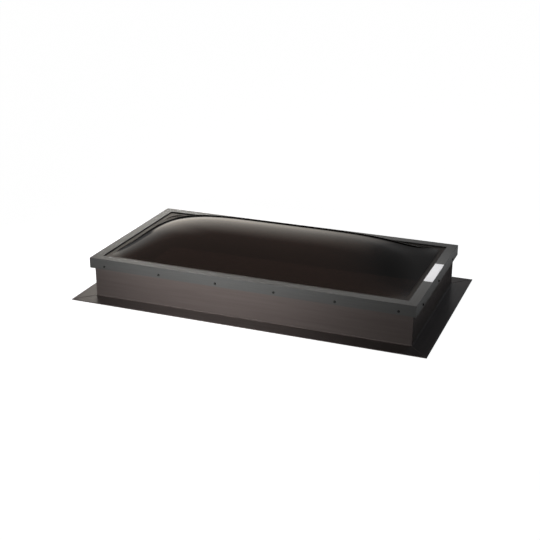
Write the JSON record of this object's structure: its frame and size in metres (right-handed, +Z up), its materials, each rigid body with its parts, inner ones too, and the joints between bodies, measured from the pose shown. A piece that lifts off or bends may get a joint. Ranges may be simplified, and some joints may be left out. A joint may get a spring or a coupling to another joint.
{
  "type": "self-flashing domed roof skylight",
  "caption": "Fixed roof skylight: hollow vinyl curb with a flat roof flange, condensation gutter, double acrylic dome with a bronze outer sheet, and a screwed metal retainer frame.",
  "frame": {"origin": "middle of the roof flange's underside, on the roof deck", "axes": "+X along the long side towards the end with the label's place, +Y to the back, +Z up through the dome"},
  "size_m": [1.363, 0.754, 0.2535],
  "materials": {
    "curb_vinyl": "satin dark brown rigid vinyl",
    "seal_rubber": "matt black",
    "clear_acrylic": "clear polished acrylic",
    "spacer_plastic": "matt dark grey",
    "bronze_acrylic": "bronze tinted polished acrylic",
    "bronze_aluminium": "satin dark bronze anodised",
    "dark_screws": "dark coated steel",
    "label_paper": "plain white sticker without print"
  },
  "bodies": {
    "root": {"curb_rail_front": "curb_vinyl", "curb_rail_right": "curb_vinyl", "curb_rail_back": "curb_vinyl", "curb_rail_left": "curb_vinyl", "bed_tape_front": "seal_rubber", "bed_tape_right": "seal_rubber", "bed_tape_back": "seal_rubber", "bed_tape_left": "seal_rubber", "inner_dome": "clear_acrylic", "spacer_bar_front": "spacer_plastic", "spacer_bar_right": "spacer_plastic", "spacer_bar_back": "spacer_plastic", "spacer_bar_left": "spacer_plastic", "outer_dome": "bronze_acrylic", "lip_seal_front": "seal_rubber", "lip_seal_right": "seal_rubber", "lip_seal_back": "seal_rubber", "lip_seal_left": "seal_rubber", "retainer_front": "bronze_aluminium", "retainer_right": "bronze_aluminium", "retainer_back": "bronze_aluminium", "retainer_left": "bronze_aluminium", "retainer_screws": "dark_screws"}
  },
  "joints": []
}
